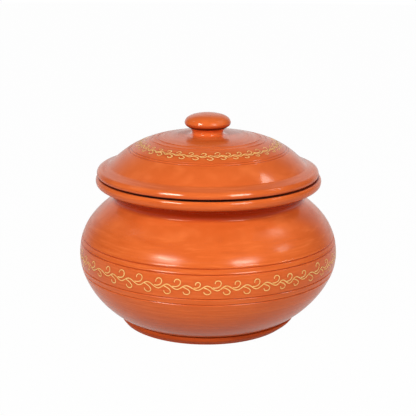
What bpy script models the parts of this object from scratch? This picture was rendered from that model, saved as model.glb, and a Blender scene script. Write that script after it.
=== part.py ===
"""Lidded terracotta serving pot: a round-bellied vessel on a foot ring, and a domed lid with a knob.

Metres, +Z up. The origin is the centre of the foot, on the surface that the pot stands on.
Every piece is turned about the Z axis, as on a potter's wheel. An outline is a list of places,
each a radius and a height, and it runs down its outer side.
"""
from math import cos, hypot, radians, sin

import bpy

# Joints between pieces
SEAM = 0.0003               # gap for the slip between two luted pieces, and under the resting lid

# Foot ring
FOOT_RADIUS = 0.0715
FOOT_HEIGHT = 0.0075
FOOT_WIDTH = 0.0090
FOOT_ROUNDING = 0.0022

# Vessel, with its heights above the table
BASE_OVERHANG = 0.0006      # how far the bowl stands out past the foot ring where they meet
BASE_SLOPE = radians(62)    # how far the bowl's surface leans under there
BELLY_RADIUS = 0.1066
BELLY_HEIGHT = 0.0570
NECK_RADIUS = 0.0794
NECK_HEIGHT = 0.1005
WALL = 0.0055
FLOOR = 0.0065
FLOOR_ROUNDING = 0.0150
FLOOR_CLEARANCE = 0.0020    # the wall's own curve ends at least this far above the floor

# Rim
RIM_HEIGHT = 0.1220
RIM_FLARE = 0.0129          # how far the rim stands out past the neck
RIM_EDGE_DROP = 0.0034      # from the flat top of the rim down to its widest line
RIM_SLOPE_WIDTH = 0.0070    # the part of the rim's top that falls away towards its edge
MOUTH_ROUNDING = 0.0060     # width of the curve between the throat and the rim's flat top

# Lid
FLANGE_INSET = 0.0018       # how far the flange stays inside the rim's edge
FLANGE_THICKNESS = 0.0062
FLANGE_EDGE_WIDTH = 0.0014  # width of the rounding over the flange's edge
FLANGE_UNDER_ROUNDING = 0.0014
SHELF_WIDTH = 0.0101        # from the flange's edge in to the dome
SHELF_FALL = 0.0016         # how far the shelf slopes down to its edge
DOME_SLOPE = radians(47)    # how steeply the dome meets the shelf
DOME_RISE = 0.0250
CROWN_RADIUS = 0.0210       # the flat middle of the dome
LID_WALL = 0.0055

# Ring under the lid
LOCATING_CLEARANCE = 0.0014
LOCATING_WIDTH = 0.0050
LOCATING_DEPTH = 0.0120
LOCATING_ROUNDING = 0.0016

# Knob
STEM_RADIUS = 0.0128
STEM_HEIGHT = 0.0087        # from the crown up to the underside of the cap
STEM_WAIST_HEIGHT = 0.0032
STEM_FLARE = 0.0042         # how far the stem's base spreads out beyond its waist
STEM_FILLET = 0.0010        # how far the top of the stem spreads under the cap
CAP_RADIUS = 0.0185
CAP_DEPTH = 0.0031          # from the cap's widest line down to its underside
CAP_RISE = 0.0063           # from the cap's widest line up to its top

# Turned lines, in pairs that bound the carved bands
LINE_WIDTH = 0.0014
LINE_DEPTH = 0.0006
LINE_SPACING = 0.75         # the outline's own places keep this many line widths clear of a line
BAND_ABOVE = 0.0120         # the belly's band, up and down from its widest line
BAND_BELOW = 0.0067
UPPER_PAIR_GAP = 0.0044
LOWER_PAIR_GAP = 0.0050
LID_BAND_INSIDE = 0.0455    # the lid's band, as radii
LID_BAND_OUTSIDE = 0.0627
INNER_PAIR_GAP = 0.0040
OUTER_PAIR_GAP = 0.0033

# Fullness of the curves: how far each curve runs on straight at its start and its end,
# as a share of its own height or width
COVE_FULLNESS = (0.37, 0.64)
SHOULDER_FULLNESS = (0.10, 0.78)
BOWL_FULLNESS = (0.39, 0.35)
THROAT_FULLNESS = (0.60, 0.60)
RIM_EDGE_FULLNESS = 0.65
DOME_FULLNESS = (0.61, 0.26)
CAP_FULLNESS = (0.53, 0.48)
CAP_UNDER_FULLNESS = (1.85, 0.60)
STEM_FULLNESS = (0.90, 0.30)
FLARE_FULLNESS = (0.60, 0.60)
CORNER_FULLNESS = 0.55

# How curves that start or end on a slant do so, as shares of their width and of their height
RIM_SLANT = (0.75, 0.25)
SHELF_START_SLANT = (0.25, 0.55)
SHELF_END_SLANT = (0.30, 0.12)
HOLLOW_SPRINGING = 0.33     # the hollow's straight foot, as a share of its side's height
HOLLOW_FULLNESS = 0.80

# Fineness
SEGMENTS = 60
KNOB_SEGMENTS = 40
BELLY_STEPS = 10
INSIDE_STEPS = 7
DOME_STEPS = 11
RIM_STEPS = 6
THROAT_STEPS = 5
SHELF_STEPS = 3
FLOOR_STEPS = 3
COVE_INSIDE_STEPS = 3
CAP_STEPS = 8
STEM_STEPS = 4
CORNER_STEPS = 2

# What follows from the sizes above
RIM_RADIUS = NECK_RADIUS + RIM_FLARE
FLANGE_RADIUS = RIM_RADIUS - FLANGE_INSET
CREASE_RADIUS = FLANGE_RADIUS - SHELF_WIDTH
CREASE_RISE = FLANGE_THICKNESS + SHELF_FALL
CROWN_RISE = CREASE_RISE + DOME_RISE
LOCATING_RADIUS = NECK_RADIUS - WALL - LOCATING_CLEARANCE
LOCATING_BORE = LOCATING_RADIUS - LOCATING_WIDTH
BELLY_LINES = (
    BELLY_HEIGHT + BAND_ABOVE + UPPER_PAIR_GAP,
    BELLY_HEIGHT + BAND_ABOVE,
    BELLY_HEIGHT - BAND_BELOW,
    BELLY_HEIGHT - BAND_BELOW - LOWER_PAIR_GAP,
)
LID_LINES = (
    LID_BAND_INSIDE - INNER_PAIR_GAP,
    LID_BAND_INSIDE,
    LID_BAND_OUTSIDE,
    LID_BAND_OUTSIDE + OUTER_PAIR_GAP,
)


def curve(start, start_handle, end_handle, end, steps):
    """Places along a smooth curve after its start: it leaves and arrives along its two handles."""
    places = []
    for i in range(1, steps + 1):
        t = i / steps
        weights = ((1 - t) ** 3, 3 * (1 - t) ** 2 * t, 3 * (1 - t) * t ** 2, t ** 3)
        corners = (start, start_handle, end_handle, end)
        r = sum(w * p[0] for w, p in zip(weights, corners))
        z = sum(w * p[1] for w, p in zip(weights, corners))
        places.append((r, z))
    return places


def rounded(start, corner, end, steps=CORNER_STEPS):
    """Places round a corner after its start."""
    handles = [tuple(a + CORNER_FULLNESS * (c - a) for a, c in zip(place, corner)) for place in (start, end)]
    return curve(start, handles[0], handles[1], end, steps)


def inset(outline, distance):
    """The outline moved into the clay, square to itself."""
    moved = []
    for i, (r, z) in enumerate(outline):
        before = outline[max(i - 1, 0)]
        after = outline[min(i + 1, len(outline) - 1)]
        along = (after[0] - before[0], after[1] - before[1])
        length = hypot(*along)
        moved.append((r + distance * along[1] / length, z - distance * along[0] / length))
    return moved


def with_line(outline, value, axis):
    """The outline with a turned line cut where its radius (axis 0) or height (axis 1) is the value."""
    pairs = list(zip(outline, outline[1:]))
    at = next(i for i, (a, b) in enumerate(pairs) if min(a[axis], b[axis]) <= value < max(a[axis], b[axis]))
    a, b = pairs[at]
    share = (value - a[axis]) / (b[axis] - a[axis])
    middle = (a[0] + share * (b[0] - a[0]), a[1] + share * (b[1] - a[1]))
    length = hypot(b[0] - a[0], b[1] - a[1])
    along = ((b[0] - a[0]) / length, (b[1] - a[1]) / length)
    half = LINE_WIDTH / 2
    cut = [
        (middle[0] - half * along[0], middle[1] - half * along[1]),
        (middle[0] + LINE_DEPTH * along[1], middle[1] - LINE_DEPTH * along[0]),
        (middle[0] + half * along[0], middle[1] + half * along[1]),
    ]

    def clear(place):
        return hypot(place[0] - middle[0], place[1] - middle[1]) > LINE_SPACING * LINE_WIDTH

    before = [place for place in outline[:at + 1] if clear(place)]
    after = [place for place in outline[at + 1:] if clear(place)]
    return before + cut + after


def vessel_wall(cove_steps, belly_steps):
    """The outer side from the rim's widest line down to the foot, without its turned lines."""
    rim = (RIM_RADIUS, RIM_HEIGHT - RIM_EDGE_DROP)
    neck = (NECK_RADIUS, NECK_HEIGHT)
    belly = (BELLY_RADIUS, BELLY_HEIGHT)
    base = (FOOT_RADIUS + BASE_OVERHANG, FOOT_HEIGHT)
    cove = rim[1] - neck[1]
    shoulder = neck[1] - belly[1]
    bowl = belly[1] - base[1]

    under_rim = (rim[0], rim[1] - COVE_FULLNESS[0] * cove)
    over_neck = (neck[0], neck[1] + COVE_FULLNESS[1] * cove)
    under_neck = (neck[0], neck[1] - SHOULDER_FULLNESS[0] * shoulder)
    over_belly = (belly[0], belly[1] + SHOULDER_FULLNESS[1] * shoulder)
    under_belly = (belly[0], belly[1] - BOWL_FULLNESS[0] * bowl)
    reach = BOWL_FULLNESS[1] * bowl
    over_base = (base[0] + reach * sin(BASE_SLOPE), base[1] + reach * cos(BASE_SLOPE))

    outline = [rim]
    outline += curve(rim, under_rim, over_neck, neck, cove_steps)
    outline += curve(neck, under_neck, over_belly, belly, belly_steps)
    outline += curve(belly, under_belly, over_base, base, belly_steps)
    return outline


def vessel_inside():
    """From the middle of the floor up to the throat."""
    floor_height = FOOT_HEIGHT + FLOOR
    wall = inset(vessel_wall(COVE_INSIDE_STEPS, INSIDE_STEPS), WALL)[COVE_INSIDE_STEPS:]
    side = [place for place in wall if place[1] > floor_height + FLOOR_CLEARANCE]
    above, lowest = side[-2:]
    reach = (lowest[1] - floor_height) / (above[1] - lowest[1])
    corner = (lowest[0] - reach * (above[0] - lowest[0]), floor_height)
    floor_edge = (lowest[0] - FLOOR_ROUNDING, floor_height)
    side += rounded(lowest, corner, floor_edge, FLOOR_STEPS)
    side.append((0.0, floor_height))
    side.reverse()
    return side


def vessel_profile():
    outer = vessel_wall(RIM_STEPS, BELLY_STEPS)
    for height in BELLY_LINES:
        outer = with_line(outer, height, 1)
    edge = outer[0]

    profile = vessel_inside()
    throat = profile[-1]
    mouth = (throat[0] + MOUTH_ROUNDING, RIM_HEIGHT)
    up_throat = (throat[0], throat[1] + THROAT_FULLNESS[0] * (mouth[1] - throat[1]))
    into_mouth = (mouth[0] - THROAT_FULLNESS[1] * MOUTH_ROUNDING, mouth[1])
    profile += curve(throat, up_throat, into_mouth, mouth, THROAT_STEPS)

    brow = (RIM_RADIUS - RIM_SLOPE_WIDTH, RIM_HEIGHT)
    profile.append(brow)
    down_slope = (brow[0] + RIM_SLANT[0] * RIM_SLOPE_WIDTH, brow[1] - RIM_SLANT[1] * RIM_EDGE_DROP)
    over_edge = (edge[0], edge[1] + RIM_EDGE_FULLNESS * RIM_EDGE_DROP)
    profile += curve(brow, down_slope, over_edge, edge, THROAT_STEPS)
    profile += outer[1:]
    profile.append((0.0, FOOT_HEIGHT))
    return profile


def foot_profile():
    top = FOOT_HEIGHT - SEAM
    inside = FOOT_RADIUS - FOOT_WIDTH
    toe = (FOOT_RADIUS, FOOT_ROUNDING)
    sole = (FOOT_RADIUS - FOOT_ROUNDING, 0.0)
    heel = (inside + FOOT_ROUNDING, 0.0)
    arch = (inside, FOOT_ROUNDING)
    profile = [(FOOT_RADIUS, top), toe]
    profile += rounded(toe, (FOOT_RADIUS, 0.0), sole)
    profile.append(heel)
    profile += rounded(heel, (inside, 0.0), arch)
    profile.append((inside, top))
    return profile


def dome(steps):
    """The lid's upper side, from the edge of its flat crown down to the crease at the shelf."""
    crown = (CROWN_RADIUS, CROWN_RISE)
    crease = (CREASE_RADIUS, CREASE_RISE)
    width = CREASE_RADIUS - CROWN_RADIUS
    reach = DOME_FULLNESS[1] * width
    past_crown = (crown[0] + DOME_FULLNESS[0] * width, crown[1])
    over_crease = (crease[0] - reach * cos(DOME_SLOPE), crease[1] + reach * sin(DOME_SLOPE))
    return [crown] + curve(crown, past_crown, over_crease, crease, steps)


def lid_profile():
    """Heights here are measured from the underside of the flange."""
    upper = dome(DOME_STEPS)
    for radius in LID_LINES:
        upper = with_line(upper, radius, 0)
    profile = [(0.0, CROWN_RISE)] + upper

    crease = upper[-1]
    brow = (FLANGE_RADIUS - FLANGE_EDGE_WIDTH, FLANGE_THICKNESS)
    shelf = brow[0] - crease[0]
    in_crease = (crease[0] + SHELF_START_SLANT[0] * shelf, crease[1] - SHELF_START_SLANT[1] * SHELF_FALL)
    on_shelf = (brow[0] - SHELF_END_SLANT[0] * shelf, brow[1] + SHELF_END_SLANT[1] * SHELF_FALL)
    profile += curve(crease, in_crease, on_shelf, brow, SHELF_STEPS)

    widest = (FLANGE_RADIUS, FLANGE_THICKNESS / 2)
    under_edge = (FLANGE_RADIUS, FLANGE_UNDER_ROUNDING)
    sole = (FLANGE_RADIUS - FLANGE_UNDER_ROUNDING, 0.0)
    profile += rounded(brow, (FLANGE_RADIUS, FLANGE_THICKNESS), widest, SHELF_STEPS)
    profile.append(under_edge)
    profile += rounded(under_edge, (FLANGE_RADIUS, 0.0), sole)

    ceiling = inset(dome(INSIDE_STEPS + 1), LID_WALL)
    hollow = [place for place in ceiling if place[0] < LOCATING_BORE - LID_WALL]
    hollow.reverse()
    side = hollow[0]
    springing = (LOCATING_BORE, HOLLOW_SPRINGING * side[1])
    profile += [(LOCATING_BORE, 0.0), springing]
    profile += rounded(springing, (LOCATING_BORE, HOLLOW_FULLNESS * side[1]), side)
    profile += hollow[1:]
    profile.append((0.0, CROWN_RISE - LID_WALL))
    return profile


def locating_profile():
    """Heights here are measured from the underside of the flange."""
    tip = -LOCATING_DEPTH
    outside = (LOCATING_RADIUS, tip + LOCATING_ROUNDING)
    lead_out = (LOCATING_RADIUS - LOCATING_ROUNDING, tip)
    lead_in = (LOCATING_BORE + LOCATING_ROUNDING, tip)
    inside = (LOCATING_BORE, tip + LOCATING_ROUNDING)
    profile = [(LOCATING_RADIUS, -SEAM), outside]
    profile += rounded(outside, (LOCATING_RADIUS, tip), lead_out)
    profile.append(lead_in)
    profile += rounded(lead_in, (LOCATING_BORE, tip), inside)
    profile.append((LOCATING_BORE, -SEAM))
    return profile


def knob_profile():
    """Heights here are measured from the lid's crown."""
    top = (0.0, STEM_HEIGHT + CAP_DEPTH + CAP_RISE)
    widest = (CAP_RADIUS, STEM_HEIGHT + CAP_DEPTH)
    under = (STEM_RADIUS + STEM_FILLET, STEM_HEIGHT)
    waist = (STEM_RADIUS, STEM_WAIST_HEIGHT)
    base = (STEM_RADIUS + STEM_FLARE, SEAM)

    past_top = (CAP_FULLNESS[0] * CAP_RADIUS, top[1])
    over_widest = (CAP_RADIUS, widest[1] + CAP_FULLNESS[1] * CAP_RISE)
    under_widest = (CAP_RADIUS, widest[1] - CAP_UNDER_FULLNESS[0] * CAP_DEPTH)
    under_cap = (under[0] + CAP_UNDER_FULLNESS[1] * (CAP_RADIUS - under[0]), under[1])
    neck = STEM_HEIGHT - STEM_WAIST_HEIGHT
    below_cap = (STEM_RADIUS, waist[1] + STEM_FULLNESS[0] * neck)
    over_waist = (STEM_RADIUS, waist[1] + STEM_FULLNESS[1] * neck)
    under_waist = (STEM_RADIUS, waist[1] - FLARE_FULLNESS[0] * (waist[1] - SEAM))
    along_crown = (base[0] - FLARE_FULLNESS[1] * STEM_FLARE, base[1])

    profile = [top]
    profile += curve(top, past_top, over_widest, widest, CAP_STEPS)
    profile += curve(widest, under_widest, under_cap, under, CAP_STEPS - 2)
    profile += curve(under, below_cap, over_waist, waist, STEM_STEPS - 1)
    profile += curve(waist, under_waist, along_crown, base, STEM_STEPS)
    profile.append((0.0, SEAM))
    return profile


def clay(name, color, roughness):
    material = bpy.data.materials.new(name)
    material.use_nodes = True
    shader = material.node_tree.nodes["Principled BSDF"]
    shader.inputs["Base Color"].default_value = (*color, 1.0)
    shader.inputs["Roughness"].default_value = roughness
    shader.inputs["Metallic"].default_value = 0.0
    return material


def turned(name, profile, segments, material, collection, parent=None):
    """A solid of revolution. An outline that doesn't end on the axis is closed into a ring."""
    count = len(profile)
    edges = [(i, i + 1) for i in range(count - 1)]
    if profile[-1][0] > 0:
        edges.append((count - 1, 0))
    mesh = bpy.data.meshes.new(name)
    mesh.from_pydata([(r, 0.0, z) for r, z in profile], edges, [])
    mesh.materials.append(material)
    piece = bpy.data.objects.new(name, mesh)
    piece.parent = parent
    collection.objects.link(piece)
    turning = piece.modifiers.new("turning", "SCREW")
    turning.axis = "Z"
    turning.angle = radians(360)
    turning.steps = segments
    turning.render_steps = segments
    turning.use_merge_vertices = True
    turning.merge_threshold = 0.00001
    turning.use_smooth_shade = True
    return piece


def seat(name, height, collection, parent=None):
    """An empty on the turning axis that carries the pieces above it."""
    empty = bpy.data.objects.new(name, None)
    empty.location = (0.0, 0.0, height)
    empty.empty_display_size = 0.02
    empty.parent = parent
    collection.objects.link(empty)
    return empty


def main():
    for thing in list(bpy.data.objects):
        bpy.data.objects.remove(thing, do_unlink=True)
    pot = bpy.data.collections.new("terracotta_serving_pot")
    bpy.context.scene.collection.children.link(pot)

    vessel_clay = clay("vessel_clay", (0.72, 0.135, 0.040), 0.32)
    foot_clay = clay("foot_clay", (0.52, 0.080, 0.026), 0.45)
    lid_clay = clay("lid_clay", (0.74, 0.140, 0.042), 0.30)
    ring_clay = clay("ring_clay", (0.62, 0.120, 0.040), 0.50)
    knob_clay = clay("knob_clay", (0.74, 0.138, 0.042), 0.26)

    turned("pot_body", vessel_profile(), SEGMENTS, vessel_clay, pot)
    turned("foot_ring", foot_profile(), SEGMENTS, foot_clay, pot)

    lid_seat = seat("lid_seat", RIM_HEIGHT + SEAM, pot)
    turned("lid_shell", lid_profile(), SEGMENTS, lid_clay, pot, lid_seat)
    turned("lid_locating_ring", locating_profile(), SEGMENTS, ring_clay, pot, lid_seat)

    knob_seat = seat("knob_seat", CROWN_RISE, pot, lid_seat)
    turned("lid_knob", knob_profile(), KNOB_SEGMENTS, knob_clay, pot, knob_seat)


main()
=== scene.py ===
"""A lidded terracotta serving pot: burnished clay, turned lines, and a carved scroll filled with cream slip.

Metres, +Z up, the front towards -Y. Each piece is turned about the Z axis from an outline of radii and
heights, which has the clay on its right-hand side as it goes. A place on a piece is an angle from the
front, towards +X, and a distance along the outline.
"""
import random
from math import ceil, cos, pi, radians, sin
from typing import NamedTuple

import bpy
import numpy as np
from mathutils import Matrix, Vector
from mathutils.geometry import delaunay_2d_cdt
from mathutils.kdtree import KDTree


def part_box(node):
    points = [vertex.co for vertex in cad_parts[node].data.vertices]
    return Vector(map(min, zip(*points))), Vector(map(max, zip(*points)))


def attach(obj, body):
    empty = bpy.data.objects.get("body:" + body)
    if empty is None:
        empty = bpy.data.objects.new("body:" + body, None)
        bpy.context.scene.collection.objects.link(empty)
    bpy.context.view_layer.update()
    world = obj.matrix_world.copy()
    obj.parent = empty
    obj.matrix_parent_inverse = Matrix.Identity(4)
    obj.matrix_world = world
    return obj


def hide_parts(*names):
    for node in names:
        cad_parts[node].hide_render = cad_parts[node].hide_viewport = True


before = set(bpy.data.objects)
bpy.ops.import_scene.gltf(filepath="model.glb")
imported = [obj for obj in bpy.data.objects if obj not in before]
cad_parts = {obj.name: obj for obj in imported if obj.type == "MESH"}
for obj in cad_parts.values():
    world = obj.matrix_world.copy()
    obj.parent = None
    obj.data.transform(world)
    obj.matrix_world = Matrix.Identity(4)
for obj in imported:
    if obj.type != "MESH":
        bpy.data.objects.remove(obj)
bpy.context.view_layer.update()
MM = 0.001

# Sizes that the frame gives
foot_low, foot_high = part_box("foot_ring")
vessel_low, vessel_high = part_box("pot_body")
lid_low, lid_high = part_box("lid_shell")
ring_low, ring_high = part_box("lid_locating_ring")
knob_low, knob_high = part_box("lid_knob")
FOOT_RADIUS = foot_high.x
BASE_HEIGHT = vessel_low.z - 0.6 * MM
BELLY_RADIUS = vessel_high.x
RIM_HEIGHT = vessel_high.z
FLANGE_RADIUS = lid_high.x + 0.4 * MM
SEAT_HEIGHT = lid_low.z
CROWN_HEIGHT = lid_high.z - 0.2 * MM
LOCATING_RADIUS = ring_high.x
LOCATING_TIP = ring_low.z
CAP_RADIUS = knob_high.x + 0.3 * MM
KNOB_TOP = knob_high.z - 0.9 * MM

# Vessel. A fullness says how far the handles of a curve reach, as shares of its height or width,
# and a slant says which way a handle points.
BASE_RADIUS = FOOT_RADIUS + 0.3 * MM
BASE_SLOPE = radians(63.7)
BELLY_HEIGHT = 57.8 * MM
BOWL_FULLNESS = (0.41, 0.35)
NECK_RADIUS = 78.9 * MM
NECK_HEIGHT = 103.1 * MM
NECK_SLOPE = radians(24)
SHOULDER_FULLNESS = (0.074, 0.704)
COVE = 5.2 * MM
COVE_SLANT = (1.0, 0.5)
COVE_FULLNESS = 0.96
RIM_RADIUS = FLANGE_RADIUS + 1.6 * MM
RIM_EDGE_DROP = 3.7 * MM
RIM_SLOPE_WIDTH = 6.9 * MM
RIM_SLOPE_SLANT = (0.60, -0.06)
RIM_DEPTH = 4.1 * MM  # from the widest place down to where the rim turns in
RIM_TURN = 2.3 * MM
RIM_FULLNESS = 0.53
RIM_SLANT = (0.58, 0.15)
RIM_EDGE_REACH = 0.66 * MM
MOUTH_ROUNDING = 6.0 * MM
MOUTH_FULLNESS = 0.6
THROAT_RISE = 1.4 * MM
WALL = 5.5 * MM
FLOOR = 6.5 * MM
FLOOR_ROUNDING = 15.0 * MM
FLOOR_CLEARANCE = 2.0 * MM  # the wall's own curve ends this far above the floor

# Foot ring
FOOT_WIDTH = 9.0 * MM
FOOT_ROUNDING = 1.2 * MM
FOOT_FLARE = 2.2 * MM
FOOT_TAPER = 3.9 * MM
FOOT_FULLNESS = 0.55
FOOT_SLANT = (0.5, 0.15)
EMBED = 0.15 * MM  # how far a luted piece goes into the clay that it is fixed to
RING_GAP = 0.05 * MM  # keeps the last place of a closed outline off its first one

# Lid
FLANGE_THICKNESS = 5.7 * MM
FLANGE_EDGE_WIDTH = 2.2 * MM
FLANGE_WIDEST = 2.4 * MM
FLANGE_UNDER_WIDTH = 1.4 * MM
BROW_FULLNESS = 0.1
FLANGE_EDGE_REACH = 0.33 * MM
SHELF_WIDTH = 10.1 * MM
SHELF_FALL = 2.6 * MM
SHELF_SLANT = (0.25, 0.35)
SHELF_FULLNESS = 0.4
DOME_SLOPE = radians(43)
DOME_FULLNESS = (0.60, 0.25)
CROWN_RADIUS = 16.0 * MM
LID_WALL = 5.5 * MM
HOLLOW_SPRINGING = 0.33  # the hollow's straight foot, as a share of its side's height
HOLLOW_FULLNESS = 0.8
LOCATING_WIDTH = 5.0 * MM
LOCATING_ROUNDING = 1.6 * MM

# Knob, from the crown up
STEM_RADIUS = 12.6 * MM
STEM_WAIST = 2.2 * MM
STEM_FLARE = 5.0 * MM
STEM_FULLNESS = 0.5
STEM_LEAN = 0.2 * MM  # how far the waist's upper handle leans out
WAIST_REACH = 0.4 * MM
FLARE_SLANT = (0.6 * STEM_FLARE, -0.1 * MM)
CAP_RISE = 7.6 * MM
CAP_FULLNESS = 0.48
CAP_EDGE_REACH = 0.3 * MM
CAP_DEPTH = 3.3 * MM
CAP_TURN = 2.3 * MM
CAP_SLOPE = radians(55)
CAP_UNDER_FULLNESS = (0.6, 0.33)

# Facets, worn flat along the edges: the top and the foot of each, from the edge's widest place or from where
# the stem meets the crown, and the fullness of the curves above and below it
RIM_FACET = ((-0.475 * MM, 2.07 * MM), (-0.30 * MM, 1.65 * MM), 2.5, 1.0)
FLANGE_FACET = ((-0.59 * MM, 1.8 * MM), (-0.30 * MM, 1.1 * MM), 0.4, 0.3)
CAP_FACET = ((-0.48 * MM, 1.70 * MM), (-0.24 * MM, 1.0 * MM), 5.6, 0.5)
STEM_FACET = ((0.20 * MM, 1.10 * MM), (0.29 * MM, 0.84 * MM), 0.5, 1.2)

# Turned lines
BELLY_LINES = (73.4 * MM, 69.0 * MM, 50.3 * MM, 45.3 * MM)
LID_LINES = (42.3 * MM, 46.8 * MM, 63.5 * MM, 65.4 * MM)
LINE_HALF_WIDTH = 0.42 * MM
LINE_DEPTH = 0.55 * MM
LID_LINE_DEPTH = 0.35 * MM
LINE_DRIFT = 0.10 * MM  # how far a line wanders from its height
LIP_SHARE = 0.18  # the clay pushed up beside a line, as a share of its depth
LIP_PLACE = 2.0  # in the line's half widths, as the next is
LIP_WIDTH = 0.7
BAND_MARGIN = 1.7 * MM  # from a turned line to the carved band

# Stains and painted shade, from 0 for clean clay to 1 for dark red painted shade in a hollow and 2 for
# near-black painted shade
# the turned lines, darker: partly clay darker where the burnished skin is cut, partly painted shade in the
# grooves
LINE_SHADE_AND_STAIN = 0.8
LINE_SHADE_AND_STAIN_WIDTH = 0.8  # in the line's half widths
# the level of the near-black painted shade in the gap where the lid lies on the rim
GAP_SHADE = 2.0
GAP_SHADE_FADE = 0.4  # the painted shade is deepest at the front
GAP_SHADE_WIDTH = 2.6 * MM  # the ring of near-black painted shade where the lid's edge lies on the rim
GAP_SHADE_INSET = 0.15 * MM
GAP_SHADE_RISE = 1.45 * MM  # how far the painted shade goes up the lid's edge
GAP_SHADE_EDGE = 0.2 * MM

# Polish, from 0 for burnished clay to 1 for the edges that hands and wheel have polished
POLISHED = 0.12  # the roughness of fully polished clay
POLISH_EDGE = 1.5 * MM
POLISHED_SIDE = radians(-40)  # the side of the cap that the fingers have polished
SIDE_SHARPNESS = 2.2  # how quickly a polish that keeps to one side ends

# Unevenness of the hand
WOBBLE = 0.12 * MM
LID_WOBBLE = 0.05 * MM
AXIS_FADE = 10.0 * MM  # all relief fades out this close to the axis
BOWL_LEAN = -1.6 * MM  # how far the foot is out of line with the belly
FOOT_LEAN = 0.2 * MM
SOLE_LEAN = -1.9 * MM
LID_LEAN = -0.7 * MM
CROWN_LEAN = 0.4 * MM
KNOB_LEAN = -0.9 * MM
TIP = radians(0.95)  # the mouth and the lid tip towards the front
MOUTH_RISE = 1.0 * MM
TIP_START = 88.0 * MM
TIP_END = 114.0 * MM
RING_HEIGHT = 0.16 * MM  # throwing rings on the inside
RING_SPACING = 5.2 * MM
RING_FADE = 8.0 * MM
RINGS_ON_FLOOR = 0.8  # where the rings start on the vessel's floor, as a share of the foot's radius
LID_RINGS = (70.0 * MM, 5.0 * MM)  # where they start and end in the lid, from the end of its outline

# Fineness
SEGMENTS = 240
KNOB_SEGMENTS = 144
ROW_SPACING = 2.6 * MM
ROWS_A_RADIAN = 13
LINE_ROW_SPACING = 0.17 * MM
LONG_CURVE = 120  # places along the belly's curves, across a flat and down a facet
FLAT_STEPS = 60
FACET_STEPS = 8
NEAR_ANGLE, NEAR = 1e-4, 2e-5  # between the points that show which way the surface faces
LINE_ROWS_REACH = 3.4  # in the line's half widths
SHADE_AND_STAIN_ROWS = 2.5  # rows across the edge of a stain or of painted shade
SHADE_AND_STAIN_ROWS_REACH = 1.5  # in widths of that edge

# Carved scroll, in millimetres on the unrolled band
STROKE_HALF_WIDTH = 0.37
STROKE_STEP = 0.42
STROKE_TAPER = 1.6  # the length of a stroke's narrowing end, in half widths
STROKE_TIP = 0.12
GROOVE_DEPTH = 0.42
SLIP_DEPTH = 0.26  # from the clay's surface down to the slip in the middle of a groove
SLIP_LIFT = 0.02  # how far the slip stands out at a groove's edges
SLIP_THICKNESS = 0.10
BAND_GRID = 1.9
GRID_CLEARANCE = 0.75
SAME_PLACE = 1e-3
BELLY_SCROLL_HEIGHT = 59.3 * MM  # where the scroll's middle line runs
LID_SCROLL_RADIUS = 55.9 * MM
LID_BAND_RADIUS = 55.6 * MM  # where the lid's band is measured off

# The curls that the front shows: the angle of each trough, and the reach up and down in millimetres
BELLY_CURLS = (
    (-66.5, 7.0, 6.0), (-57.6, 6.8, 6.0), (-46.4, 7.4, 7.0), (-38.2, 8.2, 7.4),
    (-29.2, 8.2, 7.6), (-20.4, 7.6, 7.4), (-12.6, 7.6, 6.8), (-4.2, 5.9, 6.6),
    (3.7, 7.2, 6.8), (11.6, 6.8, 6.8), (19.8, 7.2, 6.4), (28.6, 7.2, 6.6),
    (35.2, 7.2, 6.8), (43.2, 6.4, 6.8), (52.8, 8.2, 6.4), (61.0, 7.8, 6.6),
)
LID_CURLS = (
    (-56.0, 5.6, 5.0), (-45.5, 5.6, 5.2), (-35.6, 5.8, 5.2), (-26.3, 5.6, 5.6),
    (-15.4, 5.8, 5.6), (-4.7, 5.8, 5.6), (6.6, 6.4, 5.2), (15.6, 5.6, 5.2),
    (25.4, 5.6, 5.0), (35.6, 5.6, 5.0), (45.4, 5.8, 5.0), (56.0, 5.6, 5.0),
)
WAVE_SHAKE = 0.35
WAVE_STEPS = 12

# Clay's colours: its middle, its dark and its light
VESSEL_COLORS = ((0.78, 0.145, 0.030), (0.68, 0.114, 0.020), (0.84, 0.178, 0.044))
LID_COLORS = ((0.77, 0.143, 0.031), (0.67, 0.114, 0.022), (0.83, 0.175, 0.045))
KNOB_COLORS = ((0.78, 0.145, 0.031), (0.71, 0.122, 0.023), (0.82, 0.170, 0.042))
FOOT_COLORS = ((0.55, 0.078, 0.012), (0.46, 0.058, 0.009), (0.64, 0.10, 0.018))
RING_COLORS = ((0.66, 0.130, 0.025), (0.58, 0.100, 0.018), (0.72, 0.17, 0.04))
SPECK_COLOR = (0.20, 0.035, 0.010)
# dark red painted shade for hollows, the cove and the lower bowl, and the stain of the turned lines
SHADE_AND_STAIN_COLOR = (0.31, 0.011, 0.001)
# near-black painted shade, for the gap under the lid's edge and the line under the knob's cap
DEEP_SHADE_COLOR = (0.004, 0.001, 0.001)
SLIP_COLORS = ((0.88, 0.50, 0.16), (0.94, 0.64, 0.28))
RUBBED_COLOR = (0.72, 0.26, 0.08)  # clay that shows through the slip
WHITE = (1.0, 1.0, 1.0, 1.0)

# Clay's marks, as noise scales, and its surface
WHEEL_DRAW = 0.045  # how far the marks are drawn out round the wheel
WHEEL_SLANT = 0.83  # keeps marks apart on level clay, where the height alone is the same
CLOUDS, PATCHES, BANDS, FINE, SPECKS = 26.0, 9.0, 210.0, 900.0, 1500.0
SLIP_PATCHES, SLIP_GRAINS = 260.0, 2600.0
BUMP = 0.2 * MM

# Studio
STUDIO_LIGHT = 0.03  # the room's own light
STUDIO_SHINE = 0.16  # how bright the room looks in reflections
BACKDROP_SHINE = 1.03
BACKDROP_EDGE = (0.50, 0.90)  # where the bright backdrop ends, as the height and depth of a direction
FLOOR_CLAY = 0.55
FLOOR_RADIUS = 6.0
FLOOR_SEEN = 0.985  # how much of the floor the camera sees as plain white
FLOOR_SHINE = 0.70  # the same in reflections

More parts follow.
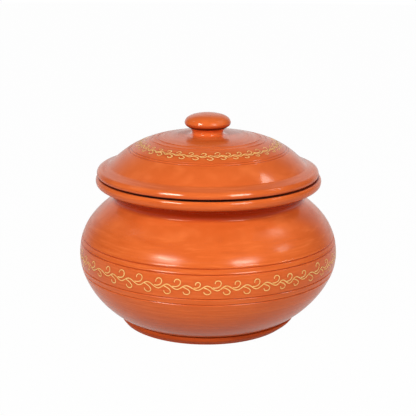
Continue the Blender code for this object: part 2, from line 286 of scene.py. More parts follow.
# Lamps: soft boxes that face the pot's middle, by azimuth, elevation, width, height and power in watts.
# Azimuth 0 is the front, and positive is towards +X.
LAMPS = {
    "left_box": (-37.7, 28.5, 0.46, 0.14, 12.8),
    "right_box": (33.2, 27, 0.46, 0.18, 9.2),
    "right_side_box": (77, 32, 0.26, 0.18, 1.7),
    "upper_side_box": (100, 51, 0.18, 0.24, 1.9),
    "left_side_box": (-101, 46, 0.16, 0.16, 0.3),
}
LAMP_COLOR = (0.97, 0.97, 0.86)
LAMP_DISTANCE = 1.4
POT_MIDDLE = 0.08

# Camera
CAMERA_PLACE = (-0.00027, -0.8, 0.2957)
CAMERA_FALL = radians(14.18)
CAMERA_ROLL = radians(0.32)
SENSOR_WIDTH = 36.0
LENS = 85.9


class Stretch(NamedTuple):
    """A stretch of an outline between two places along it, which is stained, painted with shade or polished.
    """
    start: float
    end: float
    amount: float = 1.0
    edge: float = POLISH_EDGE
    fade: float = 0.0  # how much weaker it is at the sides than at the front
    side: float | None = None  # the angle that it keeps to, or None where it goes all round

    def strength(self, angle, s):
        strength = self.amount * (1 - self.fade + self.fade * np.cos(angle))
        strength = strength * np.clip(np.minimum(s - self.start, self.end - s) / self.edge, 0, 1)
        if self.side is None:
            return strength
        return strength * np.clip(SIDE_SHARPNESS * (np.cos(angle - self.side) - 1) + 1, 0, 1)


def curve(start, start_handle, end_handle, end, count=40):
    """Places along a smooth curve after its start, which leaves and arrives along its two handles."""
    t = np.linspace(0.0, 1.0, count + 1)[1:, None]
    a, b, c, d = (np.array(p, float) for p in (start, start_handle, end_handle, end))
    return (1 - t) ** 3 * a + 3 * (1 - t) ** 2 * t * b + 3 * (1 - t) * t ** 2 * c + t ** 3 * d


def line(start, end, count=20):
    """Places along a straight stretch after its start."""
    t = np.linspace(0.0, 1.0, count + 1)[1:, None]
    return np.array(start, float) * (1 - t) + np.array(end, float) * t


def corner(start, turn, end, count=14):
    """Places round a corner after its start."""
    start, turn, end = (np.array(p, float) for p in (start, turn, end))
    return curve(start, start + 0.56 * (turn - start), end + 0.56 * (turn - end), end, count)


def faceted(start, handle, place, facet, end_handle, end, count=40, steps=FACET_STEPS):
    """A rounded edge with a narrow facet worn along it, as stretches after its start."""
    top, foot, above, below = facet
    top, foot = place + top, place + foot
    fall = foot - top
    return [
        curve(start, handle, top - above * fall, top, count), line(top, foot, steps),
        curve(foot, foot + below * fall, end_handle, end),
    ]


def parallel(places, distance):
    """The places moved into the clay, square to their line."""
    return places - distance * left_side(places)


def left_side(places, *along):
    """The direction to the left of a line of places, at each of them."""
    way = np.gradient(places, *along, axis=0)
    way /= np.linalg.norm(way, axis=1)[:, None]
    return np.stack([-way[:, 1], way[:, 0]], axis=1)


def distances(places):
    """How far along a line of places each of them is."""
    return np.concatenate([[0.0], np.cumsum(np.hypot(*np.diff(places, axis=0).T))])


def smooth_noise(angle, seed, waves=(2, 3, 5, 7)):
    """A slow unevenness round the piece, between about -1 and 1."""
    chance = random.Random(seed)
    total = np.zeros_like(angle)
    for count in waves:
        total += chance.uniform(0.4, 1.0) / count * np.sin(count * angle + chance.uniform(0, 2 * pi))
    return total


class Turned:
    """A turned surface: its outline, the turned lines cut in it and the unevenness of the hand."""

    def __init__(self, stretches, seed, wobble, aside, tipped):
        self.places = np.vstack(stretches)
        steps = np.hypot(*np.diff(self.places, axis=0).T)
        self.places = self.places[np.concatenate([[True], steps > 1e-9])]
        self.along = distances(self.places)
        self.normal = left_side(self.places, self.along)
        turn = np.unwrap(np.arctan2(-self.normal[:, 0], self.normal[:, 1]))
        self.bend = np.abs(np.gradient(turn, self.along))
        self.length = self.along[-1]
        self.lines = []
        self.line_depth = LINE_DEPTH
        self.shades_and_stains = []
        self.polished = []
        self.rings = None
        self.seed = seed
        self.wobble = wobble
        self.aside = aside
        self.tipped = tipped

    def find(self, value, axis, start=0.0, end=None):
        """Where the outline's radius (axis 0) or height (axis 1) comes to a value between two places."""
        s = np.linspace(start, end or self.length, 6000)
        off = np.interp(s, self.along, self.places[:, axis]) - value
        cross = np.nonzero(off[:-1] * off[1:] <= 0)[0][0]
        return s[cross]

    def relief(self, angle, s):
        """How far the surface stands out from its smooth outline."""
        height = self.wobble * smooth_noise(angle, self.seed)
        for i, place in enumerate(self.lines):
            drift = LINE_DRIFT * smooth_noise(angle, 100 * self.seed + i)
            x = np.abs(s - place - drift) / LINE_HALF_WIDTH
            lip = LIP_SHARE * np.exp(-((x - LIP_PLACE) / LIP_WIDTH) ** 2)
            height = height - self.line_depth * (np.exp(-x ** 2) - lip)
        if self.rings is not None:
            start, end = self.rings
            inside = np.clip(np.minimum(s - start, end - s) / RING_FADE, 0, 1)
            wave = 2 * pi * (s - start) / RING_SPACING + 0.5 * smooth_noise(angle, self.seed + 7)
            height = height + RING_HEIGHT * inside * np.sin(wave + angle)
        return height

    def finish(self, angle, s):
        """How stained or painted with shade, and how polished the clay is."""
        shade_and_stain = np.zeros_like(s)
        deepest = LINE_SHADE_AND_STAIN * self.line_depth / LINE_DEPTH
        # the turned lines: partly darker clay where the skin is cut, partly painted shade in the grooves
        for place in self.lines:
            x = np.abs(s - place) / (LINE_SHADE_AND_STAIN_WIDTH * LINE_HALF_WIDTH)
            shade_and_stain = np.maximum(shade_and_stain, deepest * np.exp(-x ** 2))
        for stretch in self.shades_and_stains:
            shade_and_stain = np.maximum(shade_and_stain, stretch.strength(angle, s))
        polish = np.zeros_like(s)
        for stretch in self.polished:
            polish = np.maximum(polish, stretch.strength(angle, s))
        return np.stack([shade_and_stain, polish], axis=-1)

    def point(self, angle, s, rise=0.0):
        """Points on the surface, or that far above it."""
        angle, s = np.broadcast_arrays(np.asarray(angle, float), np.asarray(s, float))
        r, z = (np.interp(s, self.along, self.places[:, k]) for k in (0, 1))
        out, up = (np.interp(s, self.along, self.normal[:, k]) for k in (0, 1))
        height = self.relief(angle, s) * np.clip(r / AXIS_FADE, 0, 1) + rise
        r = r + out * height
        z = z + up * height
        x = r * np.sin(angle) + self.aside(z)
        y = -r * np.cos(angle)
        return np.stack([x, y, z + self.tipped(z) * (MOUTH_RISE + TIP * y)], axis=-1)

    def direction(self, angle, s):
        """The way that the surface faces."""
        turn = self.point(angle + NEAR_ANGLE, s) - self.point(angle - NEAR_ANGLE, s)
        before, after = np.maximum(s - NEAR, 0.0), np.minimum(s + NEAR, self.length)
        fall = self.point(angle, after) - self.point(angle, before)
        facing = np.cross(fall, turn)
        return facing / np.maximum(np.linalg.norm(facing, axis=-1), 1e-30)[..., None]

    def rows(self, start, end):
        """Places along the outline, closer together on bends and across turned lines."""
        s = np.linspace(start, end, 8000)
        dense = 1 / ROW_SPACING + ROWS_A_RADIAN * np.interp(s, self.along, self.bend)
        for place in self.lines:
            near = np.clip(LINE_ROWS_REACH - np.abs(s - place) / LINE_HALF_WIDTH, 0, 1)
            dense = np.maximum(dense, near / LINE_ROW_SPACING)
        for shade_and_stain in self.shades_and_stains:
            off_edge = np.minimum(np.abs(s - shade_and_stain.start), np.abs(s - shade_and_stain.end))
            dense = np.maximum(dense, SHADE_AND_STAIN_ROWS * (off_edge < SHADE_AND_STAIN_ROWS_REACH * shade_and_stain.edge) / shade_and_stain.edge)
        total = np.concatenate([[0.0], np.cumsum((dense[1:] + dense[:-1]) / 2 * np.diff(s))])
        return np.interp(np.linspace(0, total[-1], ceil(total[-1]) + 1), total, s)


class Sheet:
    """Gathers the points and faces of one mesh, with the way each corner faces."""

    def __init__(self):
        self.points = []
        self.finish = []
        self.faces = []
        self.facing = []

    def add_points(self, points, finish):
        first = sum(map(len, self.points))
        self.points.append(points.reshape(-1, 3))
        self.finish.append(np.broadcast_to(finish, points.shape[:-1] + (2,)).reshape(-1, 2))
        return first

    def add_faces(self, faces, facing):
        """Facing holds a direction for each point of each face, or zeros where the mesh decides."""
        self.faces += [tuple(int(i) for i in f) for f in faces]
        self.facing += [tuple(d) for f in facing for d in f]

    def make(self, name, material):
        piece = add_mesh(name, np.vstack(self.points), self.faces, material)
        for kind, values in zip(("shade_and_stain", "polish"), np.concatenate(self.finish).T):
            attribute = piece.data.attributes.new(kind, "FLOAT", "POINT")
            attribute.data.foreach_set("value", values.astype(np.float32))
        piece.data.normals_split_custom_set(self.facing)
        piece.data.update()
        return piece


def add_object(name, data):
    piece = bpy.data.objects.new(name, data)
    bpy.context.scene.collection.objects.link(piece)
    return piece


def add_mesh(name, points, faces, material):
    mesh = bpy.data.meshes.new(name)
    mesh.from_pydata(points.tolist(), [], faces)
    mesh.polygons.foreach_set("use_smooth", [True] * len(mesh.polygons))
    mesh.materials.append(material)
    return add_object(name, mesh)


def lathe(sheet, turned, start, end, segments, ring=False):
    """Adds a stretch of a turned surface as rows of four-sided faces. Returns its first and last rows."""
    s = turned.rows(start, end)
    angles = np.arange(segments) * 2 * pi / segments
    on_axis = [np.interp(x, turned.along, turned.places[:, 0]) < 1e-7 for x in (s[0], s[-1])]
    body = s[1 if on_axis[0] else 0:len(s) - 1 if on_axis[1] else len(s)]
    grid_s, grid_a = np.meshgrid(body, angles, indexing="ij")
    first = sheet.add_points(turned.point(grid_a, grid_s), turned.finish(grid_a, grid_s))
    facing = turned.direction(grid_a, grid_s)
    count = len(body)
    j = np.arange(segments)
    k = (j + 1) % segments
    for i in range(count if ring else count - 1):
        n = (i + 1) % count
        upper, lower = first + i * segments, first + n * segments
        faces = np.stack([upper + j, lower + j, lower + k, upper + k], axis=1)
        ways = np.stack([facing[i, j], facing[n, j], facing[n, k], facing[i, k]], axis=1)
        sheet.add_faces(faces, ways)
    for at_end, row, place in ((0, 0, s[0]), (1, count - 1, s[-1])):
        if on_axis[at_end]:
            pole = sheet.add_points(turned.point(np.zeros(1), np.array([place])), 0.0)
            up = turned.normal[-1 if at_end else 0]
            way = np.broadcast_to(np.array([0.0, 0.0, up[1]]), (segments, 3))
            around = first + row * segments
            order = (k, j) if at_end else (j, k)
            faces = np.stack([np.full(segments, pole), around + order[0], around + order[1]], axis=1)
            sheet.add_faces(faces, np.stack([way, facing[row, order[0]], facing[row, order[1]]], axis=1))
    return first, first + (count - 1) * segments


def stroke_sides(path, half_width):
    """The left side, the middle and the right side of a carved stroke, with its half width at each place."""
    path = np.array(path, float)
    along = distances(path)
    count = max(4, ceil(along[-1] / STROKE_STEP))
    s = np.linspace(0, along[-1], count + 1)
    middle = np.stack([np.interp(s, along, path[:, k]) for k in (0, 1)], axis=1)
    side = left_side(middle)
    end = np.clip(np.minimum(s, along[-1] - s) / (STROKE_TAPER * half_width), 0, 1)
    half = half_width * np.sqrt(STROKE_TIP + (1 - STROKE_TIP) * end * (2 - end))
    return middle + side * half[:, None], middle, middle - side * half[:, None], half


def stroke_net(strokes):
    """The points and four-sided faces of the strokes, and the half width at each place of their middles."""
    points, quads, spine = [], [], []
    for path, half_width in strokes:
        left, centre, right, half = stroke_sides(path, half_width)
        n = len(centre)
        base = len(points)
        points += [*left, *centre, *right]
        for i in range(n - 1):
            quads.append((base + i, base + n + i, base + n + i + 1, base + i + 1))
            quads.append((base + n + i, base + 2 * n + i, base + 2 * n + i + 1, base + n + i + 1))
        spine += [(x, y, h) for (x, y), h in zip(centre, half)]
    return points, quads, spine


def band_net(strokes, half_height, width):
    """Divides the unrolled band into triangles that follow the edges of the strokes.

    Returns the places, each one's share of the way from a stroke's middle to its edge, the triangles outside
    the strokes and those inside."""
    points, quads, spine = stroke_net(strokes)
    tree = KDTree(len(spine))
    for i, (x, y, _) in enumerate(spine):
        tree.insert((x, y, 0.0), i)
    tree.balance()
    pitch = 2 * width / SEGMENTS
    columns = [-width + i * pitch for i in range(SEGMENTS + 1)]
    for x in columns:
        points += [(x, half_height), (x, -half_height)]
    levels = max(2, round(2 * half_height / BAND_GRID))
    for row in range(1, levels):
        y = half_height - 2 * half_height * row / levels
        for x in columns:
            if x in (columns[0], columns[-1]) or tree.find((x, y, 0.0))[2] > GRID_CLEARANCE:
                points.append((x, y))
    found = delaunay_2d_cdt([tuple(p) for p in points], [], quads, 0, 1e-4, True)
    flat = np.array([tuple(v) for v in found[0]])
    share = np.empty(len(flat))
    for i, (x, y) in enumerate(flat):
        _, nearest, distance = tree.find((x, y, 0.0))
        share[i] = min(distance / spine[nearest][2], 1.0)
    share[share > 0.96] = 1.0
    plain = [tuple(f) for f, of in zip(found[2], found[5]) if not of]
    carved = [tuple(f) for f, of in zip(found[2], found[5]) if of]
    return flat, share, plain, carved


def carve(sheet, turned, strokes, start, end, rows, radius, shade_and_stain):
    """Fills the band between two rows of a turned surface, with grooves where the strokes are.

    Returns the band's places, their share of the way from a stroke's middle to its edge, and the triangles
    inside the strokes."""
    half_height = (end - start) / 2 / MM
    width = pi * (radius / MM)
    flat, share, plain, carved = band_net(strokes, half_height, width)
    angle = flat[:, 0] / (radius / MM)
    s = (start + end) / 2 - flat[:, 1] * MM
    touched = np.zeros(len(flat), bool)
    touched[sorted({i for f in carved for i in f})] = True
    rise = np.where(touched, -GROOVE_DEPTH * MM * (1 - share ** 2), 0.0)
    finish = turned.finish(angle, s)
    # painted shade: the clay in the carved grooves, at the slip's edges, darkened
    finish[touched, 0] += shade_and_stain

    column = (np.round((angle + pi) / (2 * pi) * SEGMENTS).astype(int) + SEGMENTS // 2) % SEGMENTS
    on_top = flat[:, 1] > half_height - SAME_PLACE
    on_bottom = flat[:, 1] < -half_height + SAME_PLACE
    between = ~(on_top | on_bottom)
    last = between & (flat[:, 0] > width - SAME_PLACE)
    first = np.nonzero(between & (flat[:, 0] < -width + SAME_PLACE))[0]
    own = between & ~last
    index = np.where(on_top, rows[0], rows[1]) + column
    points = turned.point(angle[own], s[own], rise[own])
    index[own] = sheet.add_points(points, finish[own]) + np.arange(own.sum())
    for i in np.nonzero(last)[0]:
        index[i] = index[first[np.abs(flat[first, 1] - flat[i, 1]).argmin()]]

    facing = turned.direction(angle, s)
    sheet.add_faces([index[list(f)] for f in plain], [facing[list(f)] for f in plain])
    sheet.add_faces([index[list(f)] for f in carved], [np.zeros((3, 3)) for _ in carved])
    return angle, s, share, carved


def slip_filling(name, turned, band, material):
    """The cream slip in the strokes: a closed skin that lies in the groove and ends at its edges."""
    angle, s, share, faces = band
    used = sorted({i for f in faces for i in f})
    number = {old: new for new, old in enumerate(used)}
    angle, s, share = angle[used], s[used], share[used]
    on_edge = share >= 1.0
    top = turned.point(angle, s, (SLIP_LIFT - SLIP_DEPTH * (1 - share ** 2)) * MM)
    under = turned.point(angle, s, -(SLIP_DEPTH + SLIP_THICKNESS) * (1 - share ** 2) * MM)
    under_number = np.arange(len(used))
    under_number[~on_edge] = len(used) + np.arange((~on_edge).sum())
    upper = [tuple(number[i] for i in f) for f in faces]
    lower = [tuple(int(under_number[i]) for i in reversed(f)) for f in upper]
    lower = [f for f, g in zip(lower, upper) if set(f) != set(g)]
    piece = add_mesh(name, np.vstack([top, under[~on_edge]]), upper + lower, material)
    edge_points = set(np.nonzero(on_edge)[0].tolist())
    for side in piece.data.edges:
        side.use_edge_sharp = edge_points.issuperset(side.vertices)
    piece.data.update()
    return piece


def vine(curls, wave, chance):
    """The strokes of a running scroll: a wavy stem with a curl above each trough and one below each crest.

    A curl is its place along the band, how far it reaches up, and how far the next one reaches down."""
    troughs = [(x, -wave + chance.uniform(-WAVE_SHAKE, WAVE_SHAKE)) for x, _, _ in curls]
    crests = []
    for (x, _, _), (nx, _, _) in zip(curls, curls[1:]):
        crest = x + (nx - x) * chance.uniform(0.44, 0.52)
        crests.append((crest, wave + chance.uniform(-WAVE_SHAKE, WAVE_SHAKE)))
    turns = sorted(troughs + crests)
    stem = [turns[0]]
    for (x0, y0), (x1, y1) in zip(turns, turns[1:]):
        for i in range(1, WAVE_STEPS + 1):
            t = i / WAVE_STEPS
            stem.append((x0 + (x1 - x0) * t, y0 + (y1 - y0) * (1 - cos(pi * t)) / 2))
    strokes = [(stem, STROKE_HALF_WIDTH)]
    for (x, up, _), (_, trough) in zip(curls, troughs):
        strokes.append((upward_curl(x, trough, up, chance), STROKE_HALF_WIDTH * chance.uniform(0.85, 1.1)))
    for (_, _, down), (x, crest) in zip(curls, crests):
        strokes.append((downward_curl(x, crest, down, chance), STROKE_HALF_WIDTH * chance.uniform(0.85, 1.1)))
    return strokes


def curl(shape, x, y, width, height, chance):
    """A curl from its shape on a unit square, with the unsteadiness of the hand."""
    places = []
    for px, py in shape:
        px += chance.uniform(-0.03, 0.03)
        py += chance.uniform(-0.02, 0.02)
        places.append((x + width * px, y + height * py))
    return np.vstack([places[:1], curve(*places[0:4], count=14), curve(*places[3:7], count=14)])


def upward_curl(x, trough, reach, chance):
    hook = chance.uniform(-0.10, 0.06)
    shape = ((-0.52, 0.31), (-0.22, 0.20), (0.42, 0.30), (0.46, 0.74),
             (0.49, 1.10), (-0.30, 1.17), (-0.27, 0.68 + hook))
    return curl(shape, x, trough, 0.86 * reach, reach, chance)


def downward_curl(x, crest, reach, chance):
    hook = chance.uniform(-0.06, 0.10)
    shape = ((-0.48, -0.17), (-0.10, -0.27), (0.44, -0.48), (0.43, -0.74),
             (0.42, -1.08), (-0.38, -1.15), (-0.40 + hook, -0.68))
    return curl(shape, x, crest, 0.88 * reach, reach, chance)


def bowl_aside(height):
    """How far the lower bowl stands aside, which grows from nothing at the belly."""
    share = np.clip(1 - height / BELLY_HEIGHT, 0, 1)
    return BOWL_LEAN * share ** 2 * (3 - 2 * share)


def mouth_tipped(height):
    """How much of the mouth's tip the vessel has, which grows from nothing at the shoulder."""
    share = np.clip((height - TIP_START) / (TIP_END - TIP_START), 0, 1)
    return share ** 2 * (3 - 2 * share)


def foot_aside(height):
    return SOLE_LEAN + (FOOT_LEAN - SOLE_LEAN) * np.clip(height / BASE_HEIGHT, 0, 1)


def lid_aside(height):
    share = np.clip((height - SEAT_HEIGHT) / (CROWN_HEIGHT - SEAT_HEIGHT), 0, 1)
    return LID_LEAN + (CROWN_LEAN - LID_LEAN) * share


def knob_aside(height):
    return KNOB_LEAN


def wholly(height):
    return 1.0


def not_at_all(height):
    return 0.0


def vessel_outside():
    """From the rim's widest place down to the foot."""
    rim = np.array([RIM_RADIUS, RIM_HEIGHT - RIM_EDGE_DROP])
    rim_foot = rim - (RIM_TURN, RIM_DEPTH)
    neck = np.array([NECK_RADIUS, NECK_HEIGHT])
    belly = np.array([BELLY_RADIUS, BELLY_HEIGHT])
    base = np.array([BASE_RADIUS, BASE_HEIGHT])
    shoulder, bowl = neck[1] - belly[1], belly[1] - base[1]
    down_neck = np.array([sin(NECK_SLOPE), -cos(NECK_SLOPE)])
    up_bowl = np.array([sin(BASE_SLOPE), cos(BASE_SLOPE)])
    over_foot = rim_foot + np.multiply(RIM_SLANT, (RIM_TURN, RIM_DEPTH))
    over_neck = neck - COVE_FULLNESS * COVE * down_neck
    under_neck = neck + SHOULDER_FULLNESS[0] * shoulder * down_neck
    over_belly = belly + (0, SHOULDER_FULLNESS[1] * shoulder)
    under_belly = belly - (0, BOWL_FULLNESS[0] * bowl)
    return [
        curve(rim, rim - (0, RIM_FULLNESS * RIM_DEPTH), over_foot, rim_foot),
        curve(rim_foot, rim_foot - np.multiply(COVE_SLANT, COVE), over_neck, neck),
        curve(neck, under_neck, over_belly, belly, LONG_CURVE),
        curve(belly, under_belly, base + BOWL_FULLNESS[1] * bowl * up_bowl, base, LONG_CURVE),
    ]


def vessel_inside(outside):
    """From the middle of the floor up to the throat, a wall's thickness inside the belly."""
    floor = BASE_HEIGHT + FLOOR
    wall = parallel(outside, WALL)
    wall = wall[wall[:, 1] > floor + FLOOR_CLEARANCE]
    lowest = wall[-1]
    slope = (lowest[0] - wall[-6][0]) / (lowest[1] - wall[-6][1])
    turn = (lowest[0] - slope * (lowest[1] - floor), floor)
    floor_edge = (lowest[0] - FLOOR_ROUNDING, floor)
    return [
        [(0.0, floor)], line((0.0, floor), floor_edge, FLAT_STEPS), corner(floor_edge, turn, lowest, 20),
        wall[::-1], [(NECK_RADIUS - WALL, NECK_HEIGHT + THROAT_RISE)],
    ]


def vessel_outline():
    """From the middle of the floor up the inside, over the rim and down to the middle of the base."""
    outside = vessel_outside()
    inside = vessel_inside(np.vstack(outside[2:]))
    throat = np.array(inside[-1][0])
    rim = np.array([RIM_RADIUS, RIM_HEIGHT - RIM_EDGE_DROP])
    mouth = np.array([throat[0] + MOUTH_ROUNDING, RIM_HEIGHT])
    brow = np.array([RIM_RADIUS - RIM_SLOPE_WIDTH, RIM_HEIGHT])
    up_throat = throat + (0, MOUTH_FULLNESS * (mouth[1] - throat[1]))
    into_mouth = mouth - (MOUTH_FULLNESS * MOUTH_ROUNDING, 0)
    down_slope = brow + np.multiply(RIM_SLOPE_SLANT, (RIM_SLOPE_WIDTH, RIM_EDGE_DROP))
    return [
        *inside, curve(throat, up_throat, into_mouth, mouth), line(mouth, brow),
        *faceted(brow, down_slope, rim, RIM_FACET, rim + (0, RIM_EDGE_REACH), rim),
        *outside, line((BASE_RADIUS, BASE_HEIGHT), (0.0, BASE_HEIGHT), FLAT_STEPS),
    ]


def lid_outline():
    """From the crown down the outside, under the flange and up the inside."""
    crown = np.array([CROWN_RADIUS, CROWN_HEIGHT])
    crease = np.array([FLANGE_RADIUS - SHELF_WIDTH, SEAT_HEIGHT + FLANGE_THICKNESS + SHELF_FALL])
    width = crease[0] - crown[0]
    up_dome = np.array([-cos(DOME_SLOPE), sin(DOME_SLOPE)])
    over_crease = crease + DOME_FULLNESS[1] * width * up_dome
    dome = curve(crown, crown + (DOME_FULLNESS[0] * width, 0), over_crease, crease, 160)
    brow = np.array([FLANGE_RADIUS - FLANGE_EDGE_WIDTH, SEAT_HEIGHT + FLANGE_THICKNESS])
    shelf = brow - crease
    widest = np.array([FLANGE_RADIUS, SEAT_HEIGHT + FLANGE_WIDEST])
    over_edge = widest + (0, FLANGE_EDGE_REACH)
    sole = (FLANGE_RADIUS - FLANGE_UNDER_WIDTH, SEAT_HEIGHT)
    bore = LOCATING_RADIUS - LOCATING_WIDTH
    ceiling = parallel(np.vstack([crown, dome]), LID_WALL)
    ceiling = ceiling[ceiling[:, 0] < bore - LID_WALL][::-1]
    side = ceiling[0]
    rise = side[1] - SEAT_HEIGHT
    springing = (bore, SEAT_HEIGHT + HOLLOW_SPRINGING * rise)
    shoulder = (bore, SEAT_HEIGHT + HOLLOW_FULLNESS * rise)
    return [
        [(0.0, CROWN_HEIGHT)], line((0.0, CROWN_HEIGHT), crown), dome,
        curve(crease, crease + SHELF_SLANT * shelf, brow - SHELF_FULLNESS * shelf, brow),
        *faceted(brow, brow + BROW_FULLNESS * shelf, widest, FLANGE_FACET, over_edge, widest, steps=12),
        corner(widest, (FLANGE_RADIUS, SEAT_HEIGHT), sole),
        line(sole, (bore, SEAT_HEIGHT)), line((bore, SEAT_HEIGHT), springing, 8),
        corner(springing, shoulder, side, 20),
        ceiling[1:], line(ceiling[-1], (0.0, CROWN_HEIGHT - LID_WALL)),
    ]


def knob_outline():
    """From the top of the cap down to where the flared stem meets the crown."""
    top = (0.0, KNOB_TOP)
    widest = np.array([CAP_RADIUS, KNOB_TOP - CAP_RISE])
    under = widest - (CAP_TURN, CAP_DEPTH)
    inward = np.array([-sin(CAP_SLOPE), -cos(CAP_SLOPE)])
    waist = np.array([STEM_RADIUS, CROWN_HEIGHT + STEM_WAIST])
    over_waist = waist + (STEM_LEAN, STEM_FULLNESS * (under[1] - waist[1]))
    base = np.array([STEM_RADIUS + STEM_FLARE, CROWN_HEIGHT - EMBED])
    foot = np.array([STEM_RADIUS, CROWN_HEIGHT])
    over_top = (CAP_FULLNESS * CAP_RADIUS, KNOB_TOP)
    cap_reach, stem_reach = CAP_DEPTH * np.array(CAP_UNDER_FULLNESS)
    return [
        [top],
        *faceted(top, over_top, widest, CAP_FACET, widest + (0, CAP_EDGE_REACH), widest, 60),
        curve(widest, widest - (0, cap_reach), under - stem_reach * inward, under),
        curve(under, under + cap_reach * inward, over_waist, waist),
        *faceted(waist, waist - (0, WAIST_REACH), foot, STEM_FACET, base - FLARE_SLANT, base),
        line(base, (0.0, CROWN_HEIGHT - EMBED)),
    ]


def foot_outline():
    """Round the foot ring, from its upper inner edge: outwards, down and back under."""
    top = BASE_HEIGHT + EMBED
    inside = FOOT_RADIUS - FOOT_WIDTH
    outside = FOOT_RADIUS + FOOT_FLARE
    toe = np.array([outside - FOOT_TAPER, FOOT_ROUNDING])
    sole = (toe[0] - FOOT_ROUNDING, 0.0)
    heel = (inside + 2 * FOOT_ROUNDING, 0.0)
    arch = (inside, 2 * FOOT_ROUNDING)
    over_toe = toe + np.multiply(FOOT_SLANT, (FOOT_TAPER, top))
    return [
        [(inside, top)], line((inside, top), (outside, top)),
        curve((outside, top), (outside, FOOT_FULLNESS * top), over_toe, toe),
        corner(toe, (toe[0], 0.0), sole), line(sole, heel),
        corner(heel, (inside, 0.0), arch), line(arch, (inside, top - RING_GAP)),
    ]


def locating_outline():
    """Round the ring under the lid, from its upper inner edge: outwards, down and back under."""
    top = SEAT_HEIGHT + EMBED
    inside, outside = LOCATING_RADIUS - LOCATING_WIDTH, LOCATING_RADIUS
    rounding = LOCATING_TIP + LOCATING_ROUNDING
    lead_out = (outside - LOCATING_ROUNDING, LOCATING_TIP)
    lead_in = (inside + LOCATING_ROUNDING, LOCATING_TIP)
    return [
        [(inside, top)], line((inside, top), (outside, top)),
        line((outside, top), (outside, rounding)),
        corner((outside, rounding), (outside, LOCATING_TIP), lead_out),
        line(lead_out, lead_in, 4), corner(lead_in, (inside, LOCATING_TIP), (inside, rounding)),
        line((inside, rounding), (inside, top - RING_GAP)),
    ]


class Nodes:
    """Builds the nodes of a material or of the world by name."""

    def __init__(self, owner):
        owner.use_nodes = True
        self.owner = owner
        self.tree = owner.node_tree
        self.shader = self.tree.nodes.get("Principled BSDF")

    def add(self, kind, settings=None, **sockets):
        node = self.tree.nodes.new("ShaderNode" + kind)
        for key, value in (settings or {}).items():
            setattr(node, key, value)
        self.feed(node, {key.replace("_", " "): value for key, value in sockets.items()})
        return node

    def feed(self, node, sockets):
        """Links or sets sockets of a node, which go by name or number."""
        for key, value in sockets.items():
            if isinstance(value, bpy.types.NodeSocket):
                self.tree.links.new(value, node.inputs[key])
            else:
                node.inputs[key].default_value = value

    def math(self, operation, a, b, clamp=False):
        node = self.add("Math", {"operation": operation, "use_clamp": clamp})
        self.feed(node, {0: a, 1: b})
        return node.outputs[0]

    def noise(self, vector, scale, detail=2.0, roughness=0.5):
        node = self.add("TexNoise", Vector=vector, Scale=scale, Detail=detail, Roughness=roughness)
        return node.outputs["Fac"]

    def span(self, value, low, high, new_low, new_high, kind="LINEAR"):
        node = self.add("MapRange", {"interpolation_type": kind}, Value=value,
                        From_Min=low, From_Max=high, To_Min=new_low, To_Max=new_high)
        return node.outputs["Result"]

    def blend(self, share, a, b):
        node = self.add("Mix", {"data_type": "RGBA"})
        a, b = ((*color, 1.0) if isinstance(color, tuple) else color for color in (a, b))
        self.feed(node, {0: share, 6: a, 7: b})
        return node.outputs[2]

    def skin(self, color, roughness, strength, height, specular=0.5):
        bump = self.add("Bump", Strength=strength, Distance=BUMP, Height=height)
        self.feed(self.shader, {"Base Color": color, "Roughness": roughness, "Specular IOR Level": specular,
                                "Normal": bump.outputs["Normal"]})


def wheel_vectors(nodes):
    """The place on the object, and the same drawn out round the wheel, for marks that run with it."""
    place = nodes.add("TexCoord").outputs["Object"]
    parts = nodes.add("SeparateXYZ", Vector=place)
    flat = nodes.add("CombineXYZ", X=parts.outputs["X"], Y=parts.outputs["Y"])
    radius = nodes.add("VectorMath", {"operation": "LENGTH"}, Vector=flat.outputs[0]).outputs["Value"]
    across = nodes.math("ADD", parts.outputs["Z"], nodes.math("MULTIPLY", radius, WHEEL_SLANT))
    x, y = (nodes.math("MULTIPLY", parts.outputs[axis], WHEEL_DRAW) for axis in "XY")
    drawn = nodes.add("CombineXYZ", X=x, Y=y, Z=across)
    return place, drawn.outputs[0]


